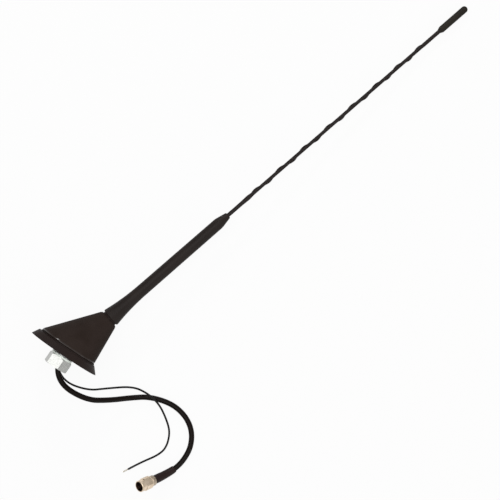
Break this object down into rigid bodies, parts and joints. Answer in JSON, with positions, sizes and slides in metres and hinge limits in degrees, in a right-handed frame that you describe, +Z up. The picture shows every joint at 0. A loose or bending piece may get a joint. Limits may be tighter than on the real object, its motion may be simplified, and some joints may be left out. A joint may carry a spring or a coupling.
{
  "type": "car roof antenna",
  "caption": "Car roof antenna: hollow cone base on a rubber seat, threaded stud with nut, screw-on rod mast with rubber grip, coax lead with coaxial connector and thin supply wire.",
  "frame": {"origin": "middle of the bottom of the box round the antenna without its leads, as it lies on a flat surface", "axes": "+X along the mast towards its tip as seen from above, +Y towards the front edge of the base, +Z up from the surface; the rim of the seat and the tip cap rest on the surface"},
  "size_m": [0.4919, 0.1728, 0.0573],
  "materials": {
    "cover_plastic": "satin",
    "grip_rubber": "satin",
    "seal_rubber": "matte",
    "sleeve_plastic": "satin",
    "lead_jacket": "satin",
    "glass_fibre": "satin",
    "wound_wire": "satin",
    "turned_brass": "satin",
    "nickel_plated_brass": "satin",
    "contact_brass": "satin",
    "die_casting": "as cast",
    "zinc_plated_steel": "bright",
    "steel": "satin",
    "tinned_sheet": "satin",
    "tinned_wire": "satin",
    "circuit_board": "satin",
    "ferrite": "matte",
    "capacitor_case": "gloss",
    "insulator": "satin"
  },
  "bodies": {
    "base": {"amplifier_board": "circuit_board", "base_cover": "cover_plastic", "base_gasket": "seal_rubber", "base_plate": "die_casting", "board_screws": "steel", "cable_bush": "seal_rubber", "capacitors": "capacitor_case", "centre_contact": "contact_brass", "choke_coil": "ferrite", "coax_cable": "lead_jacket", "connector_body": "nickel_plated_brass", "connector_insulator": "insulator", "contact_strip": "tinned_sheet", "cover_screws": "steel", "crimp_ferrule": "nickel_plated_brass", "heat_shrink": "sleeve_plastic", "mast_socket": "turned_brass", "power_wire": "lead_jacket", "retaining_clip": "steel", "shield_can": "tinned_sheet", "wire_strands": "tinned_wire"},
    "mast_seal_ring": {"mast_seal": "seal_rubber"},
    "mast": {"mast_grip": "grip_rubber", "mast_ferrule": "turned_brass", "whip_rod": "glass_fibre", "whip_sleeve": "sleeve_plastic", "whip_winding": "wound_wire", "tip_cap": "grip_rubber"},
    "washer": {"tooth_washer": "steel"},
    "nut": {"roof_nut": "zinc_plated_steel"},
    "coupling": {"coupling_nut": "nickel_plated_brass"}
  },
  "joints": [
    {"name": "mast_lift", "type": "slide", "parent": "base", "child": "mast_seal_ring", "axis": [0.9984, 0, -0.0557], "range_m": [0, 0.008]},
    {"name": "mast_turn", "type": "hinge", "parent": "mast_seal_ring", "child": "mast", "pos_m": [-0.17184, -0.003, 0.02566], "axis": [0.9984, 0, -0.0557], "range_deg": [0, 3600]},
    {"name": "washer_slide", "type": "slide", "parent": "base", "child": "washer", "axis": [0.9662, 0.2521, -0.0539], "range_m": [0, 0.0015]},
    {"name": "nut_turn", "type": "hinge", "parent": "washer", "child": "nut", "pos_m": [-0.2303, -0.00218, 0.02892], "axis": [0.9662, 0.2521, -0.0539], "range_deg": [0, 540]},
    {"name": "coupling_spin", "type": "hinge", "parent": "base", "child": "coupling", "pos_m": [-0.24408, -0.13012, 0.0211], "axis": [-0.6771, 0.2763, 0.682], "continuous": true}
  ],
  "couplings": [
    {"joint": "mast_turn", "follows": "mast_lift", "rad_per_m": 7854},
    {"joint": "nut_turn", "follows": "washer_slide", "rad_per_m": 6283.2}
  ]
}
